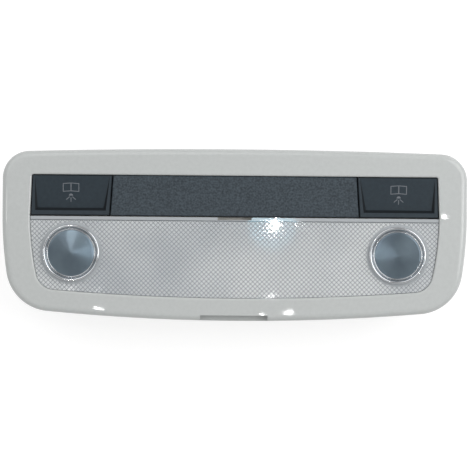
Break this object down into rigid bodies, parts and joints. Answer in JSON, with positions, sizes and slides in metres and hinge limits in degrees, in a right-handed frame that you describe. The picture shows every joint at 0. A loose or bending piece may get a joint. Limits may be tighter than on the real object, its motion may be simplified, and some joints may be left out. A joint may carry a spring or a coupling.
{
  "type": "car dome light",
  "caption": "Rear roof dome light: a pale plastic frame round a dark switch strip and a clear prism lens, with ringed reading lamps at both ends and a stepped rear housing.",
  "frame": {"origin": "middle of the frame's back rim, in the plane that sits on the roof lining", "axes": "+X along the lamp, +Y towards the switch strip, +Z out of the lit face"},
  "size_m": [0.2, 0.074, 0.0377],
  "materials": {
    "frame_plastic": "satin",
    "strip_plastic": "fine grain",
    "clear_lens": "prismatic",
    "smoked_lens": "gloss",
    "ring_chrome": "polished",
    "silver_plastic": "metallised",
    "bulb_glass": "clear",
    "white_plastic": "moulded",
    "black_plastic": "moulded",
    "contact_brass": "stamped",
    "spring_steel": "rolled",
    "board": "lacquered"
  },
  "bodies": {
    "lamp": {"frame": "frame_plastic", "prism_lens": "clear_lens", "centre_panel": "strip_plastic", "switch_carrier": "black_plastic", "circuit_board": "board", "board_screws": "spring_steel", "control_chip": "black_plastic", "press_switch_left": "black_plastic", "press_switch_right": "black_plastic", "plug_socket": "black_plastic", "socket_pins": "contact_brass", "lamp_ring_left": "ring_chrome", "lamp_ring_right": "ring_chrome", "reading_lens_left": "smoked_lens", "reading_lens_right": "smoked_lens", "reading_reflector_left": "silver_plastic", "reading_reflector_right": "silver_plastic", "reading_bulb_left": "bulb_glass", "reading_bulb_right": "bulb_glass", "bulb_holder_left": "black_plastic", "bulb_holder_right": "black_plastic", "courtesy_reflector": "silver_plastic", "courtesy_bulb": "bulb_glass", "bulb_contact_left": "contact_brass", "bulb_contact_right": "contact_brass", "rear_housing": "white_plastic", "roof_clip_left": "spring_steel", "roof_clip_right": "spring_steel"},
    "button_left": {"button_left": "strip_plastic"},
    "button_right": {"button_right": "strip_plastic"},
    "plunger_left": {"switch_plunger_left": "white_plastic"},
    "plunger_right": {"switch_plunger_right": "white_plastic"}
  },
  "joints": [
    {"name": "button_left_press", "type": "hinge", "parent": "lamp", "child": "button_left", "pos_m": [-0.07045, 0.02185, 0.0008], "axis": [1, 0, 0], "range_deg": [0, 4], "stiffness_Nm_per_rad": 0.4, "springref_deg": -1.72},
    {"name": "button_right_press", "type": "hinge", "parent": "lamp", "child": "button_right", "pos_m": [0.07045, 0.02185, 0.0008], "axis": [1, 0, 0], "range_deg": [0, 4], "stiffness_Nm_per_rad": 0.4, "springref_deg": -1.72},
    {"name": "plunger_left_travel", "type": "slide", "parent": "lamp", "child": "plunger_left", "axis": [0, 0, -1], "range_m": [0, 0.00064]},
    {"name": "plunger_right_travel", "type": "slide", "parent": "lamp", "child": "plunger_right", "axis": [0, 0, -1], "range_m": [0, 0.00064]}
  ],
  "couplings": [
    {"joint": "plunger_left_travel", "follows": "button_left_press", "m_per_rad": 0.009},
    {"joint": "plunger_right_travel", "follows": "button_right_press", "m_per_rad": 0.009}
  ]
}
